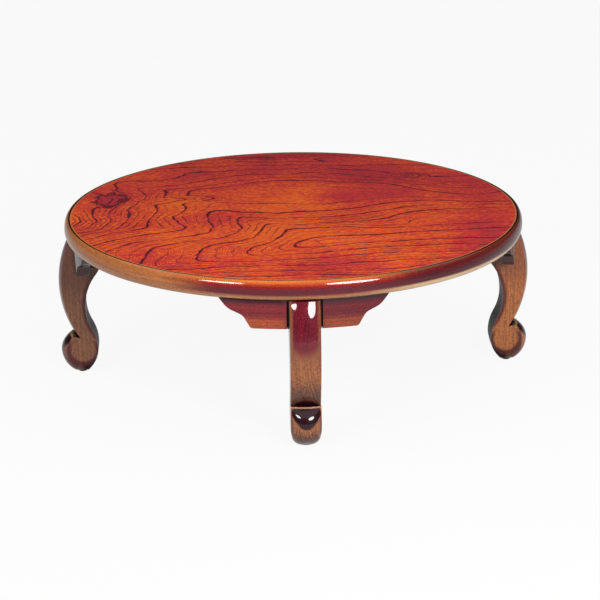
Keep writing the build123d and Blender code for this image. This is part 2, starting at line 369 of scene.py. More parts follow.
# %% [markdown]
# ## The rim
#
# The top's solid edge has an oval nose, fuller below than above, and half of
# the groove that parts it from the veneered panel. A curve with a bevel could
# make it too. Here its section is drawn once and spun through a quarter turn,
# because four quarters make the ring and their flat ends meet in joints.

# %% Rim
nose_depth = 13 * mm
groove_depth = 1.4 * mm
quarter_steps = 96
half_thickness = (table_height - underside) / 2
middle = underside + half_thickness
lip_radius = panel_radius + groove_depth

rim = start_outline("rim", table_radius, middle)
shoulder_depth = table_radius - lip_radius
oval_quarter(shoulder_depth, half_thickness, (table_radius - half_thickness, middle))
line_to(panel_radius, table_height - groove_depth)
line_to(panel_radius, core_high.z)
line_to(core_high.x, core_high.z)
line_to(core_high.x, core_low.z)
line_to(back_radius, core_low.z)
line_to(back_radius, underside)
line_to(table_radius - nose_depth, underside)
oval_quarter(nose_depth, half_thickness, (table_radius - nose_depth, middle))
merge_all()
quarter_turn = radians(-90)
bpy.ops.mesh.spin(steps=quarter_steps, angle=quarter_turn, center=(0, 0, 0), axis=(0, 0, 1))
for axis in (1, 0):
    pick("EDGE", lambda co, edge: all(near(point.co[axis], 0) for point in edge.verts))
    bpy.ops.mesh.edge_face_add()
turn_outwards(rim)
shade(rim, 35)


def along_rim(co, start):
    """Length along the rim to a point, from the +X axis, for a quarter that
    starts at an angle. The slack keeps its first points from wrapping round."""
    slack = 0.01
    turned = (atan2(co.y, co.x) - radians(start) + slack) % tau - slack
    return (turned + radians(start)) * table_radius


for name, angle in rim_quarters.items():
    quarter = copy_turned(rim, name + "_turned", angle)
    lay_grain(
        quarter,
        lambda co: (along_rim(co, angle), hypot(co.x, co.y) - table_radius, co.z - middle),
    )
    stands_for(quarter, "table_top", "rim_wood", name)
remove(rim)
print("rim quarter faces", len(quarter.data.polygons))

# %% [markdown]
# ## The legs
#
# A leg is sawn from a thick board: a head around the pin, a full knee, a
# waist, and a foot like a scroll, with a narrow slot above its ball. Then its
# outer face is crowned. It could be sculpted, but then it would lose the even
# sides that the saw leaves. So the outline is drawn at the leg's middle and
# grown sideways slice by slice, and in each slice the outer arcs are drawn in
# a little more. The other half is its mirror.

# %% Leg outline
head_back = leg_low.x
waist_reach = 15 * mm
knee_reach = 66.5 * mm
slot_reach = 32.4 * mm
scroll_reach = 45 * mm
foot_reach = 14 * mm
foot_flat = 24 * mm
ball_back_reach = 7.2 * mm
top_reach = 44 * mm
scroll_top = leg_floor + 76 * mm
slot_fall = 7 * mm
ball_height = leg_floor + 43 * mm
ball_back_height = leg_floor + 48 * mm
head_bottom = underside - 85 * mm

top_front = (pivot.x + top_reach, leg_top)
knee = (pivot.x + knee_reach, (leg_top + scroll_top) / 2)
slot_end = (pivot.x + slot_reach, scroll_top - slot_fall)
scroll_tip = (pivot.x + scroll_reach, scroll_top)
ball_front = (leg_high.x, ball_height)
foot_front = (pivot.x + foot_reach + foot_flat, leg_floor)
foot_back = (pivot.x + foot_reach, leg_floor)
ball_back = (pivot.x - ball_back_reach, ball_back_height)
waist = (pivot.x + waist_reach, (head_bottom + scroll_top) / 2)
ankle = ((ball_back[0] + waist[0]) / 2, (ball_back[1] + waist[1]) / 2)
head_turn = (head_back + 15.4 * mm, head_bottom + 9 * mm)
head_straight = (head_back, pivot.z - 4 * mm)
boss_back = (head_back, pivot.z)
boss_top = (pivot.x, leg_top)

knee_centre = centre_of_three(top_front, knee, slot_end)
scroll_centre = level_centre(ball_front, scroll_tip)
ball_centre = level_centre(ball_front, foot_front)
ball_middle = (pivot.x + 22.5 * mm, 50 * mm)
waist_low_centre = level_centre(waist, ankle)
waist_high_centre = level_centre(waist, head_turn)

leg = start_outline("leg", *top_front)
arc_to(*slot_end, knee_centre)
line_to(*scroll_tip)
arc_to(*ball_front, scroll_centre)
arc_to(*foot_front, ball_centre)
line_to(*foot_back)
arc_to(*ball_back, level_centre(ball_back, foot_back))
arc_to(*ankle, level_centre(ball_back, ankle))
arc_to(*waist, waist_low_centre)
arc_to(*head_turn, waist_high_centre)
arc_to(*head_straight, level_centre(head_straight, head_turn))
line_to(*boss_back)
arc_to(*boss_top, (pivot.x, pivot.z))
line_to(*top_front)
merge_all()
print("leg outline points", len(bmesh.from_edit_mesh(leg.data).verts))

# %% Leg body
slices = 10
slice_sides = [leg_side * count / slices for count in range(1, slices + 1)]
knee_crown_radius = 60 * mm
ball_crown_radius = 34 * mm
long_edge_round = 2.5 * mm
scroll_root = scroll_tip[0] - 10 * mm


def crown(side, radius):
    """How far a crowned face has fallen away, this far from its middle."""
    return radius - sqrt(radius**2 - side**2)


def on_arc(co, centre, point):
    radius = hypot(point[0] - centre[0], point[1] - centre[1])
    return near(hypot(co.x - centre[0], co.z - centre[1]), radius)


def on_knee(co):
    return co.x > slot_end[0] - 0.1 * mm and on_arc(co, knee_centre, knee)


def on_scroll(co):
    above = co.z > ball_front[1] - same_place
    in_front = co.x > scroll_tip[0] - 0.1 * mm
    return above and in_front and on_arc(co, scroll_centre, ball_front)


def on_ball(co):
    below = co.z < ball_front[1] - same_place
    return below and co.x > foot_front[0] and on_arc(co, ball_centre, ball_front)


bpy.ops.mesh.select_all(action="SELECT")
one_slice = {"value": (0, leg_side / slices, 0)}
for _ in range(slices):
    bpy.ops.mesh.extrude_edges_move(TRANSFORM_OT_translate=one_slice)
bpy.ops.mesh.edge_face_add()
print("leg points", len(bmesh.from_edit_mesh(leg.data).verts))

# %% Crown of the outer face
below_top = leg_top - same_place
in_front = boss_top[0] + mm
for side in slice_sides:
    knee_fall = crown(side, knee_crown_radius)
    ball_fall = crown(side, ball_crown_radius)
    knee_share = 1 - knee_fall / (knee[0] - knee_centre[0])
    scroll_share = 1 - ball_fall / (ball_front[0] - scroll_root)
    ball_share = 1 - ball_fall / (ball_front[0] - foot_front[0])
    for test, centre, value in (
        (on_knee, (knee_centre[0], 0, knee_centre[1]), (knee_share, 1, knee_share)),
        (on_scroll, (scroll_root, 0, 0), (scroll_share, 1, 1)),
        (on_ball, (foot_front[0], 0, 0), (ball_share, 1, 1)),
    ):
        pick("VERT", lambda co, _: near(co.y, side) and co.z < below_top and test(co))
        bpy.ops.transform.resize(value=value, center_override=centre)
    pick("VERT", lambda co, _: near(co.y, side) and near(co.z, leg_top) and co.x > in_front)
    bpy.ops.transform.translate(value=(-knee_fall, 0, 0))
print("crown at the side", knee_fall, "ball", ball_fall)

# %% Rounded foot
# its lower corners are rounded upwards, outside the felt pad
corner_start = 8 * mm
corner_rise = 22 * mm
corner_from = 45 * mm
for side in slice_sides:
    if side > corner_start:
        part_way = (side - corner_start) / (leg_side - corner_start)
        rise = corner_rise * (1 - sqrt(1 - part_way**2))
        value = (1, 1, 1 - rise / (corner_from - leg_floor))
        pick("VERT", lambda co, point: near(co.y, side) and co.z < corner_from)
        bpy.ops.transform.resize(value=value, center_override=(0, 0, corner_from))
bpy.ops.object.mode_set(mode="OBJECT")
finish_with(leg, "MIRROR", use_axis=(False, True, False), merge_threshold=same_place)
turn_outwards(leg)
print("leg faces", len(leg.data.polygons))

# %% [markdown]
# The head is bored for the sleeve of the pin, and two small blind holes take
# the catch's button: one when the leg stands and one when it is folded. They
# could be part of the drawn outline, but blind holes don't go through it. So
# a Boolean modifier cuts all of them with plain round cutters, and then the
# long edges are eased, as sandpaper leaves them.

# %% Leg holes
bore_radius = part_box("pivot_sleeve_right")[1].x - pivot.x
catch_reach = 16 * mm
catch_hole_radius = 3.9 * mm
catch_hole_depth = 1.7 * mm


def cut_round(piece, x, z, radius, y_from, y_to):
    """Cuts a round hole along Y."""
    select_nothing()
    bpy.ops.mesh.primitive_cylinder_add(
        vertices=48,
        radius=radius,
        depth=y_to - y_from,
        location=(x, (y_from + y_to) / 2, z),
        rotation=(radians(90), 0, 0),
    )
    cutter = settle(bpy.context.object)
    finish_with(piece, "BOOLEAN", object=cutter, operation="DIFFERENCE", solver="EXACT")
    remove(cutter)


cut_round(leg, pivot.x, pivot.z, bore_radius, -leg_side - mm, leg_side + mm)
for x, z in ((pivot.x - catch_reach, pivot.z), (pivot.x, pivot.z - catch_reach)):
    cut_round(leg, x, z, catch_hole_radius, leg_side - catch_hole_depth, leg_side + mm)


def on_hole(co):
    """Near the bore or a catch hole, and not on the head's own outline."""
    close = hypot(co.x - pivot.x, co.z - pivot.z) < catch_reach + 2 * catch_hole_radius
    inside = co.x < pivot.x + bore_radius and co.z < pivot.z + bore_radius
    on_outline = near(co.x, head_back, 0.5 * mm) or near(co.z, leg_top, 0.5 * mm)
    return close and inside and not on_outline


def is_long_edge(co, edge):
    """A sharp edge between a sawn side and the outline, but not at a hole."""
    on_side = all(near(abs(point.co.y), leg_side) for point in edge.verts)
    sharp = len(edge.link_faces) == 2 and edge.calc_face_angle(0) > radians(20)
    return on_side and sharp and not on_hole(co)


edit(leg)
found = pick("EDGE", is_long_edge)
bpy.ops.mesh.bevel(offset=long_edge_round, segments=4, affect="EDGES", clamp_overlap=True)
bpy.ops.object.mode_set(mode="OBJECT")
print("edges eased", found, "leg faces", len(leg.data.polygons))
shade(leg, 32)
finish_with(leg, "WEIGHTED_NORMAL", keep_sharp=True)

# %% Legs at their stations
leg_tones = {"front": 0.35, "right": 0.8, "back": 0.5, "left": 0.0}
board_length = 1.3

for count, (station, angle) in enumerate(leg_angles.items()):
    piece = copy_turned(leg, f"leg_{station}_carved", angle)
    upright = Matrix.Rotation(radians(-angle), 4, "Z")
    lay_grain(
        piece,
        lambda co: ((upright @ co).z, (upright @ co).y, (upright @ co).x - pivot.x),
        shift=board_length * count,
        tone=leg_tones[station],
    )
    stands_for(piece, f"{station}_leg", "leg_wood", f"leg_{station}")
remove(leg)
print("legs stand at", leg_angles)

# %% [markdown]
# ## Foot pads
#
# A felt pad under each foot spares the straw mats that such a table stands
# on. It is punched out of a sheet as an oval, and the punch rounds its edge.
# A cube with bevelled corners would do from far away. Here a flat cylinder is
# stretched, because that is a true oval at once.

# %% Foot pads
pad_low, pad_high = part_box("foot_pad_right")
pad_reach = (pad_high.x - pad_low.x) / 2
pad_stretch = 1.5

select_nothing()
bpy.ops.mesh.primitive_cylinder_add(
    vertices=64,
    radius=pad_reach,
    depth=pad_high.z - pad_low.z,
    location=((pad_low.x + pad_high.x) / 2, 0, (pad_low.z + pad_high.z) / 2),
)
pad = settle(bpy.context.object)
edit(pad)
bpy.ops.transform.resize(value=(1, pad_stretch, 1), center_override=(0, 0, 0))
pick("FACE", lambda co, face: abs(face.normal.z) > 0.5)
bpy.ops.mesh.inset(thickness=3 * mm)
bpy.ops.mesh.poke()
pick("EDGE", lambda co, edge: edge.calc_face_angle(0) > radians(60))
bpy.ops.mesh.bevel(offset=0.6 * mm, segments=3, affect="EDGES")
turn_outwards(pad)
shade(pad, 60)
for station, angle in leg_angles.items():
    piece = copy_turned(pad, f"foot_pad_{station}_punched", angle)
    stands_for(piece, f"{station}_leg", "felt", f"foot_pad_{station}")
remove(pad)
print("foot pads", pad_low[:], pad_high[:])

# %% [markdown]
# ## The aprons
#
# Each leg stands between two short boards that follow the rim. Such a board
# is sawn to its outline and curved along its length. It could be cut out of a
# ring with a Boolean. But a flat board is easier to draw, so it is drawn flat,
# with lengths measured along its outer face, given its thickness, and then
# bent with a Simple Deform modifier, whose bend keeps those lengths.

# %% Apron
apron_radius = 437 * mm
apron_thickness = 25 * mm
apron_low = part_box("apron_right_back")[0]
apron_start = apron_low.y
apron_bottom = apron_low.z
apron_length = 124 * mm
apron_corners = (
    (66 * mm, 0 * mm, 9 * mm),
    (80 * mm, 24 * mm, 14 * mm),
    (108 * mm, 36 * mm, 18 * mm),
)
corner_share = 0.45  # how far a bevel starts from a corner, for each radius
apron_edge_round = 2 * mm
# painted shade on some aprons: 0.5 is none, lower is darker; darkest on the aprons of the side legs, under the rim
apron_shade_tones = {
    ("front", "right"): 0.34,
    ("left", "front"): 0.0,
    ("left", "back"): 0.0,
    ("right", "front"): 0.0,
    ("right", "back"): 0.0,
}


def along_arc(side):
    """Length along the outer face to a point this far from the middle."""
    return apron_radius * asin(side / apron_radius)


apron = start_outline("apron", along_arc(apron_start), apron_bottom)
for reach, rise, _ in apron_corners:
    line_to(along_arc(apron_start + reach), apron_bottom + rise)
line_to(along_arc(apron_start + apron_length), underside)
for reach, rise, corner_radius in apron_corners:
    corner = (along_arc(apron_start + reach), apron_bottom + rise)
    pick("VERT", lambda co, point: near(co.x, corner[0]) and near(co.z, corner[1]))
    bpy.ops.mesh.bevel(offset=corner_radius * corner_share, segments=6, affect="VERTICES")
pick("EDGE", lambda co, edge: edge.calc_length() > 12 * mm)
bpy.ops.mesh.subdivide(number_cuts=5)
bpy.ops.mesh.select_all(action="SELECT")
bpy.ops.mesh.extrude_edges_move(TRANSFORM_OT_translate={"value": (0, 0, 0)})
bpy.ops.transform.resize(value=(1, 1, 0), center_override=(0, 0, underside))
merge_all()
thickness = {"value": (0, apron_thickness, 0)}
bpy.ops.mesh.extrude_region_move(TRANSFORM_OT_translate=thickness)
turn_outwards(apron)
places = [point.co.x for point in apron.data.vertices]
bend = (max(places) - min(places)) / apron_radius
finish_with(apron, "SIMPLE_DEFORM", deform_method="BEND", deform_axis="Z", angle=bend)
apron.location.y = -apron_radius
settle(apron)
finish_with(apron, "BEVEL", width=apron_edge_round, segments=3, angle_limit=radians(40))
shade(apron, 35)
finish_with(apron, "WEIGHTED_NORMAL", keep_sharp=True)
print("apron size", apron.dimensions[:], "faces", len(apron.data.polygons))

# %% Aprons at their stations
order = list(leg_angles)
apron_names = [name for name in frame["nodes"] if name.startswith("apron_") and "glue" not in name]
for name in apron_names:
    _, station, side = name.split("_")
    clockwise = order[(order.index(station) - 1) % 4] == side
    angle = leg_angles[station]
    piece = copy_turned(apron, name + "_bent", angle + 90, flip=clockwise)
    towards = Vector((cos(radians(angle)), sin(radians(angle)), 0))
    lay_grain(
        piece,
        lambda co: (
            towards.angle(co * Vector((1, 1, 0))) * apron_radius,
            co.z - apron_bottom,
            hypot(co.x, co.y) - apron_radius,
        ),
        shift=0.01 * angle + (2 if clockwise else 0),
        tone=apron_shade_tones.get((station, side), 0.5),
    )
    stands_for(piece, "table_top", "apron_wood", name)
remove(apron)
print("aprons", apron_names)

# %% [markdown]
# ## Materials: one helper
#
# Every finish is made of shader nodes. They could be linked by hand in the
# node editor. Here one helper adds a node, fills its inputs in order and links
# whatever is a node already, so that a material reads from top to bottom like
# a recipe. Colours are picked as they look on a screen and turned into the
# linear values that light works with. A Map Range node turns a place into a
# share: it rises from 0 to 1 between two places, unless two more numbers say
# otherwise.


# %% Helpers for materials
main_setting = {
    "Math": "operation",
    "VectorMath": "operation",
    "MapRange": "interpolation_type",
    "Mix": "data_type",
}


def linear(colour):
    """A screen colour such as #C8421C as linear red, green, blue and alpha."""
    parts = []
    for i in (1, 3, 5):
        part = int(colour[i : i + 2], 16) / 255
        parts.append(part / 12.92 if part <= 0.04045 else ((part + 0.055) / 1.055) ** 2.4)
    return (*parts, 1.0)


def add_node(tree, kind, *values, inputs=None, stops=(), **settings):
    """Adds a node. A second word in its kind, as in Math ADD, is its main
    setting. The values go into its inputs in order, and the named inputs by
    name. A node or socket is linked, a hex colour is made linear, and anything
    else is set as it is. Stops are the colours of a ramp from 0 to 1."""
    kind, _, word = kind.partition(" ")
    node = tree.nodes.new("ShaderNode" + kind)
    if word:
        settings[main_setting[kind]] = word
    for name, value in settings.items():
        setattr(node, name, value)
    for share, colour in stops:
        band = node.color_ramp.elements
        stop = {0: band[0], 1: band[-1]}.get(share) or band.new(share)
        stop.color = linear(colour)
    ready = [socket for socket in node.inputs if socket.enabled]
    pairs = list(zip(ready, values))
    pairs += [(node.inputs[name], value) for name, value in (inputs or {}).items()]
    for socket, value in pairs:
        if isinstance(value, bpy.types.Node):
            value = next(output for output in value.outputs if output.enabled)
        if isinstance(value, bpy.types.NodeSocket):
            tree.links.new(value, socket)
        elif value is not None:
            socket.default_value = linear(value) if isinstance(value, str) else value
    return node


def new_material(name):
    """An empty material, and the helper that adds nodes to it."""
    material = bpy.data.materials.new(name)
    material.use_nodes = True
    material.node_tree.nodes.clear()
    return material, partial(add_node, material.node_tree)


def from_middle(add, place, middle, half_width=1.0, half_depth=1.0):
    """How far a place is from the middle of an oval. At its border this is 1."""
    away = add("VectorMath SUBTRACT", place, (*middle, 0))
    away = add("VectorMath MULTIPLY", away, (1 / half_width, 1 / half_depth, 0))
    return add("VectorMath LENGTH", away)


def noise_share(add, place, bumps, low, high, least=0.0, most=1.0, detail=2.0, roughness=0.5):
    """Noise with so many bumps a metre, on all axes or on each: the least
    where it is low, the most where it is high. A bump is 1000 mm over that
    number across."""
    bumps = bumps if isinstance(bumps, tuple) else (bumps,) * 3
    scaled = add("VectorMath MULTIPLY", place, bumps)
    noise = add("TexNoise", scaled, 1.0, detail, roughness)
    return add("MapRange", noise, low, high, least, most)


# %% [markdown]
# ## The figure of the top
#
# The top is veneered with zelkova, a wood with strong rings. The veneer is a
# flat cut through growth rings that bulge like hills, so its lines are like
# the contours on a map. A Wave texture could draw rings too, but not lay each
# one where it should be. So the figure is made as a landscape: a height in
# rings over every point, with a dark line wherever the height passes a whole
# number. Its slope says how wide a ring is there, and so how wide its line is.
#
# The landscape has a broad ramp on the left, and for the rest one profile
# from the back edge to the front, limited by the ramp.

# %% Places in the landscape
rings_lowest = -6.0
rings_span = 14.0
panel_width = 2 * panel_radius
knot_middle = (-0.364, 0.104)

# how far three sizes of waviness push the lines: stretch, bumps a metre, reach
waves = (
    ((0.5, 1.0, 1.0), 4.5, 0.115),
    ((0.6, 1.0, 1.0), 15.0, 0.034),
    ((0.8, 1.0, 1.0), 60.0, 0.0065),
)

# the ramp's slopes: rings a metre to the right and to the back, and rings in
# the middle of the table
left_slopes = ((22.0, 0.0, 6.94), (13.0, -34.0, 0.48), (11.0, -3.0, 6.32))

# hollows and bumps in the landscape: middle, half width, half depth, rings
hills = (
    ((-0.47, -0.05), 0.19, 0.13, -1.8),
    ((-0.215, 0.085), 0.095, 0.034, -1.1),
    ((0.340, 0.160), 0.150, 0.090, -1.2),
    ((0.262, 0.238), 0.060, 0.032, 2.3),
    ((0.190, 0.388), 0.230, 0.036, 1.7),
    ((-0.045, 0.390), 0.095, 0.022, 2.4),
    (knot_middle, 0.080, 0.110, -1.0),
)

# the lens-shaped plateau behind the middle: its centre line, and how much
# its two borders close in towards its ends
lens_middle = 0.100
lens_closing = 1.05

# the profile from front to back: how far back, and how many rings high
front_to_back = (
    (-0.440, 1.3), (-0.415, 2.0), (-0.386, 3.0), (-0.352, 4.0), (-0.314, 5.0),
    (-0.272, 6.0), (-0.224, 7.0), (-0.190, 7.4), (-0.156, 7.0), (-0.110, 6.0),
    (-0.078, 5.0), (-0.044, 4.0), (-0.004, 3.0), (0.100, 2.5), (0.215, 2.0),
    (0.240, 1.0), (0.440, -5.5),
)


# %% The landscape of rings
def ring_landscape():
    """The landscape as a node group: a point goes in, its height comes out."""
    group = bpy.data.node_groups.new("growth rings", "ShaderNodeTree")
    group.interface.new_socket("Point", in_out="INPUT", socket_type="NodeSocketVector")
    group.interface.new_socket("Rings", in_out="OUTPUT", socket_type="NodeSocketFloat")
    start = group.nodes.new("NodeGroupInput")
    end = group.nodes.new("NodeGroupOutput")
    add = partial(add_node, group)

    point = start.outputs[0]
    for stretch, bumps, reach in waves:
        stretched = add("VectorMath MULTIPLY", start.outputs[0], stretch)
        noise = add("TexNoise", stretched, bumps, 1.0)
        centred = add("VectorMath SUBTRACT", noise.outputs["Color"], (0.5, 0.5, 0.5))
        push = add("VectorMath SCALE", centred, inputs={"Scale": reach})
        point = add("VectorMath ADD", point, push)
    parts = add("SeparateXYZ", point)
    x, y = parts.outputs[0], parts.outputs[1]

    slopes = []
    for to_right, to_back, in_middle in left_slopes:
        slope = add("Math MULTIPLY_ADD", x, to_right, in_middle)
        slopes.append(add("Math MULTIPLY_ADD", y, to_back, slope))
    corner = add("Math SMOOTH_MIN", *slopes[1:], 1.6)
    ramp = add("Math SMOOTH_MAX", slopes[0], corner, 2.0)

    # the profile, with the borders of the plateau closing in at its ends
    above = add("Math SUBTRACT", y, lens_middle)
    far = add("Math ABSOLUTE", above)
    far = add("MapRange", far, 0.05, 0.20, lens_closing, 0.0)
    ends = add("Math ABSOLUTE", x)
    ends = add("MapRange SMOOTHSTEP", ends, 0.03, 0.30)
    closing = add("Math MULTIPLY", far, ends)
    y = add("Math MULTIPLY_ADD", closing, above, y)
    share = add("MapRange", y, -panel_radius, panel_radius)
    profile = add("FloatCurve", 1.0, share)
    points = profile.mapping.curves[0].points
    while len(points) < len(front_to_back):
        points.new(0.5, 0.5)
    for handle, (back, rings) in zip(points, front_to_back):
        across, up = (back + panel_radius) / panel_width, (rings - rings_lowest) / rings_span
        handle.location = (across, up)
    profile.mapping.update()
    height = add("MapRange", profile, 0.0, 1.0, rings_lowest, rings_lowest + rings_span)
    rings = add("Math SMOOTH_MIN", height, ramp, 1.2)
    for *oval, lift in hills:
        away = from_middle(add, point, *oval)
        hill = add("MapRange SMOOTHSTEP", away, 0.0, 1.0, lift, 0.0)
        rings = add("Math ADD", rings, hill)
    group.links.new(rings.outputs[0], end.inputs[0])
    return group


growth_rings = ring_landscape()
print("nodes in the landscape", len(growth_rings.nodes))

# %% [markdown]
# ## Ring lines
#
# Zelkova is ring-porous: each ring starts with a row of open pores, where
# stain gathers. That row is the dark line. How far a place is from the nearest
# line, in millimetres, is its height past a whole number, over the slope.


# %% Ring lines
def measure_rings(add, place):
    """The height in rings, and its slope in rings a metre, from the heights
    at three places half a millimetre apart."""
    step = 0.5 * mm
    heights = []
    for shift in ((0, 0, 0), (step, 0, 0), (0, step, 0)):
        moved = add("VectorMath ADD", place, shift)
        heights.append(add("Group", moved, node_tree=growth_rings))
    slopes = []
    for other in heights[1:]:
        rise = add("Math SUBTRACT", other, heights[0])
        slopes.append(add("Math DIVIDE", rise, step))
    slope = add("VectorMath LENGTH", add("CombineXYZ", *slopes))
    return heights[0], add("Math MAXIMUM", slope, 5.0)


def ring_lines(add, place, height, slope):
    """A line for each ring, with fainter lines between them in some places,
    and the halo of stain that each ring's line runs out into."""
    # a line swells and thins out every 40 mm or so
    uneven = noise_share(add, place, 26.0, 0.3, 0.7, 0.25, 1.7)
    lines, distances = [], []
    for multiple, wide, narrow, strength in ((1.0, 2.8, 1.0, 1.0), (3.0, 1.6, 0.7, 0.75)):
        rings = add("Math MULTIPLY", height, multiple)
        nearest = add("Math ROUND", rings)
        offset = add("Math SUBTRACT", rings, nearest)
        offset = add("Math MULTIPLY", offset, 1000.0 / multiple)
        distances.append(add("Math DIVIDE", offset, slope))
        width = add("MapRange", slope, 8.0, 45.0, wide, narrow)
        width = add("Math MULTIPLY", width, uneven)
        line = add("Math DIVIDE", add("Math ABSOLUTE", distances[-1]), width)
        lines.append(add("MapRange SMOOTHSTEP", line, 0.4, 1.6, strength, 0.0))

    # the fainter lines come in patches of about 260 by 90 mm
    patches = noise_share(add, place, (3.85, 11.0, 11.0), 0.38, 0.56)
    between = add("Math MULTIPLY", lines[1], patches)
    line = add("Math MAXIMUM", lines[0], between)
    halo = add("MapRange", distances[0], 0.0, 11.0, 1.0, 0.0)
    one_side = add("Math GREATER_THAN", distances[0], 0.0)
    return line, add("Math MULTIPLY", halo, one_side)


# %% [markdown]
# ## Zelkova veneer
#
# Between its lines the wood is dense, with a fine feathered figure that runs
# along with the rings, and with pores. Stain and shading run from orange to
# wine red. All of this is added up as one number, the redness, and a colour
# ramp turns it into the stain. A knot near the left edge interrupts the rings.


# %% Veneer between the lines
def veneer_texture(add, place, height, slope):
    """The redness of the fine texture."""
    # feathered figure: fine lines along the rings, about 4.5 mm apart
    ripple = add("Math MULTIPLY", height, tau * 19.0)
    wobble = add("TexNoise", place, 150.0, 2.0)
    ripple = add("Math MULTIPLY_ADD", wobble, 9.0, ripple)
    ripple = add("Math SINE", ripple)
    ripple = add("MapRange", ripple, -0.2, 1.0)
    clear = add("MapRange", slope, 9.0, 30.0, 0.6, 0.0)
    steep = add("MapRange", slope, 6.5, 9.5)
    clear = add("Math MULTIPLY", clear, steep)
    ripple = add("Math MULTIPLY", ripple, clear)

    # pores: dashes along X, 18 mm long and 1.6 mm wide. Real ones are a few
    # tenths of a millimetre wide, too fine to show.
    pores = noise_share(add, place, (55.0, 620.0, 1.0), 0.45, 0.70, roughness=0.7)

    # mottle: spots of 8 by 3 mm, where the wood took up more or less stain
    mottle = noise_share(add, place, (130.0, 340.0, 1.0), 0.3, 0.7, -0.5, 0.5, detail=1.0)
    redness = add("Math MULTIPLY", pores, 0.65)
    redness = add("Math MULTIPLY_ADD", mottle, 0.8, redness)
    return add("Math MULTIPLY_ADD", ripple, 0.9, redness)


# where the stain is thinner or thicker: middle, half width, half depth, redness
stain_spots = (
    ((-0.02, -0.20), 0.26, 0.16, -0.25),
    ((-0.20, 0.06), 0.13, 0.12, -0.30),
    ((0.14, 0.09), 0.16, 0.08, 0.45),
)


def veneer_stain(add, place):
    """The redness of the stain, which is thicker at the back and the right."""
    redness = noise_share(add, place, 5.0, 0.3, 0.7, -0.35, 0.35, detail=3.0)
    x, y, _ = add("SeparateXYZ", place).outputs
    backwards = add("MapRange", y, -0.10, 0.42, 0.20, 0.60)
    rightwards = add("MapRange", x, 0.02, 0.42, 0.0, 0.35)
    redness = add("Math ADD", redness, backwards)
    redness = add("Math ADD", redness, rightwards)
    for *oval, lift in stain_spots:
        away = from_middle(add, place, *oval)
        area = add("MapRange SMOOTHSTEP", away, 0.0, 1.0, lift, 0.0)
        redness = add("Math ADD", redness, area)
    return redness


# %% Zelkova veneer
orange, red, wine, ring_dark = "#E66A1C", "#CC3A24", "#AA2634", "#520E1E"
# painted light at the panel's edge: a tan highlight, and black shade in the groove
edge_highlight_tan, groove_shade_black = "#C07A3C", "#120606"

# polyester lacquer, poured and polished: a clear smooth coat over dull wood
gloss_coat = {
    "Roughness": 0.45,
    "Specular IOR Level": 0.05,
    "Coat Weight": 1.0,
    "Coat Roughness": 0.03,
    "Coat IOR": 1.4,
}


def knot(add, place):
    """A knot's heart and its dark border, both with an uneven outline."""
    away = from_middle(add, place, knot_middle, 0.034, 0.052)
    ragged = add("TexNoise", place, 55.0, 2.0)
    away = add("Math MULTIPLY_ADD", ragged, 1.3, away)
    away = add("Math SUBTRACT", away, 0.65)
    heart = add("MapRange SMOOTHSTEP", away, 0.7, 1.0, 0.7, 0.0)
    border = add("Math ABSOLUTE", add("Math SUBTRACT", away, 0.86))
    return heart, add("MapRange SMOOTHSTEP", border, 0.06, 0.22, 0.9, 0.0)


def zelkova_veneer():
    """Zelkova, stained orange to wine red, under a thick poured gloss coat."""
    material, add = new_material("zelkova_veneer_lacquered")
    place = add("TexCoord").outputs["Object"]
    height, slope = measure_rings(add, place)
    line, halo = ring_lines(add, place, height, slope)
    heart, border = knot(add, place)
    redness = add("Math MULTIPLY_ADD", halo, 0.35, veneer_stain(add, place))
    redness = add("Math ADD", redness, heart)
    redness = add("Math ADD", redness, veneer_texture(add, place, height, slope))
    stain = add("ValToRGB", redness, stops=((0, orange), (0.55, red), (1, wine)))
    line = add("Math MAXIMUM", line, border)
    colour = add("Mix RGBA", line, stain, ring_dark)

    # a painted highlight, a thin tan line where the panel's edge catches the light, and painted shade, black in
    # the groove beyond it
    inside_edge = from_middle(add, place, (0, 0))
    inside_edge = add("Math SUBTRACT", panel_radius, inside_edge)
    bevel = add("MapRange", inside_edge, 4.6 * mm, 3.6 * mm, 0.0, 0.7)
    colour = add("Mix RGBA", bevel, colour, edge_highlight_tan)
    groove = add("MapRange", inside_edge, 2.0 * mm, 1.2 * mm)
    colour = add("Mix RGBA", groove, colour, groove_shade_black)
    look = {"Base Color": colour, **gloss_coat}
    add("OutputMaterial", add("BsdfPrincipled", inputs=look))
    return material
